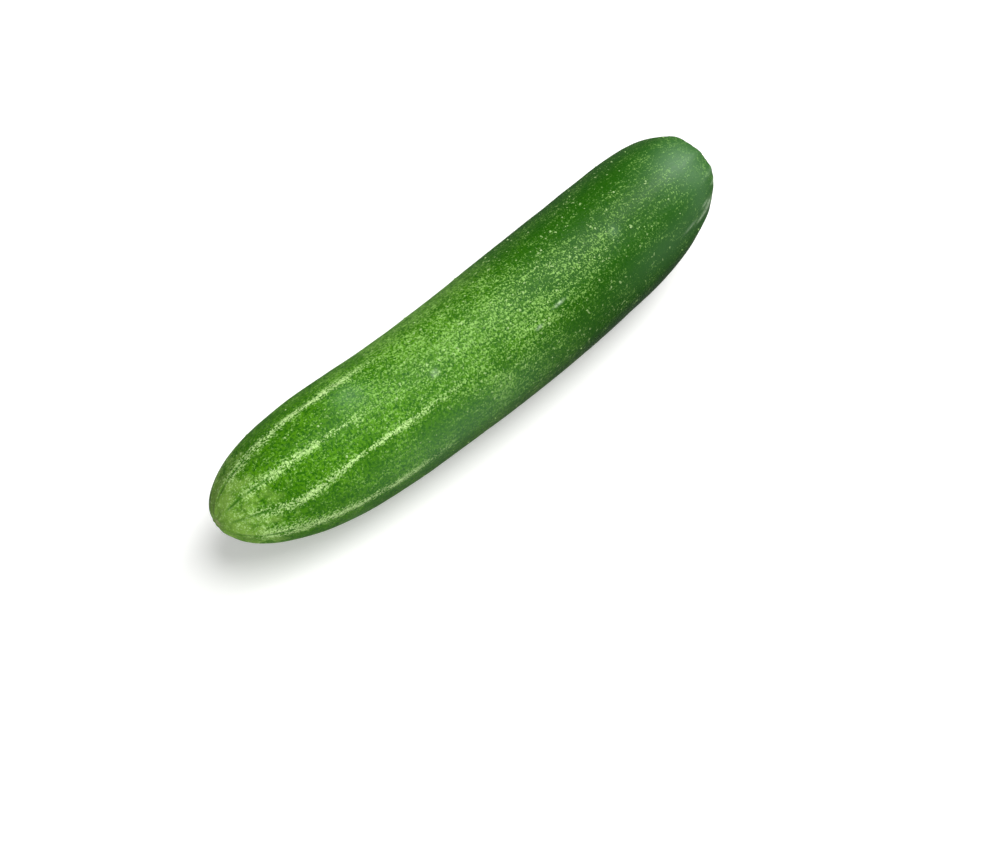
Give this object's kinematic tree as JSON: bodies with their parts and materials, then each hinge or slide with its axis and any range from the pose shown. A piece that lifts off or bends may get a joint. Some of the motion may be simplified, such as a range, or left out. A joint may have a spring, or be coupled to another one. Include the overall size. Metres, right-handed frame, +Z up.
{
  "type": "cucumber",
  "caption": "Whole green cucumber lying on its side: a slightly bent, blunt-ended fruit with faint ribs and a short cut stalk.",
  "frame": {"origin": "under the middle of the bounding box, on the surface that the fruit rests on", "axes": "+X along the fruit from the blossom end to the stem end, +Z up, belly of the bend towards -Y"},
  "size_m": [0.207, 0.0462, 0.0429],
  "materials": {
    "skin": "satin waxy cucumber skin, pale lines at the blossom half and light speckles",
    "stalk": "green ridged stalk with a dry cut end"
  },
  "bodies": {
    "root": {"fruit": "skin", "stem": "stalk"}
  },
  "joints": []
}
